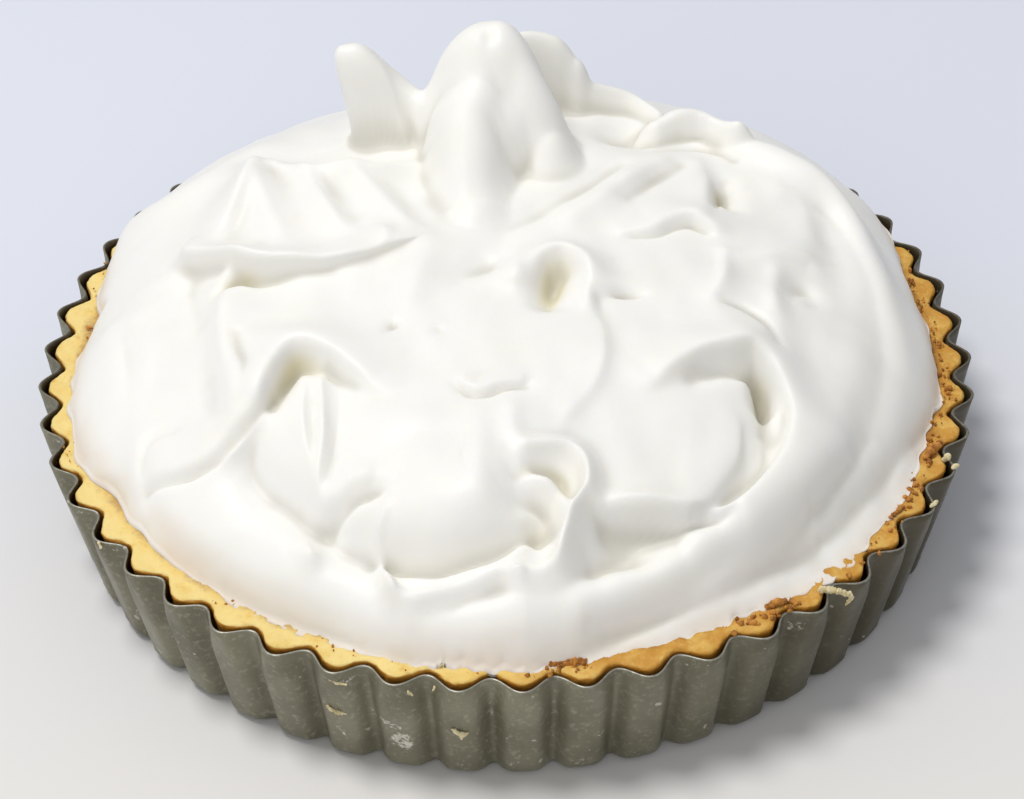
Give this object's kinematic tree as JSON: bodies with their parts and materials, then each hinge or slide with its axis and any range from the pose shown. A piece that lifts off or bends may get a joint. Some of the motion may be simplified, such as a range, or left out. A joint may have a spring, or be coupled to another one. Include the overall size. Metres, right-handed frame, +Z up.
{
  "type": "lemon meringue pie",
  "caption": "Round pie in a deep fluted tart tin: golden pastry rim under a tall dome of soft white meringue, spooned into peaks and swirls.",
  "frame": {"origin": "on the table, under the middle of the tin's flat underside", "axes": "+Z up; the front of the pie, where the small looped swirl is, faces -Y; +X to the right seen from the front"},
  "size_m": [0.2298, 0.2299, 0.1032],
  "materials": {
    "tin_coat": "dark olive grey non-stick coat, satin, with a worn bright edge at the rim",
    "pastry": "baked shortcrust, pale gold on top and amber on its outer side, matt",
    "meringue": "soft white meringue, smooth and faintly satin, warm ivory in its hollows"
  },
  "bodies": {
    "root": {"tart_tin": "tin_coat", "pastry_crust": "pastry", "meringue": "meringue"}
  },
  "joints": []
}
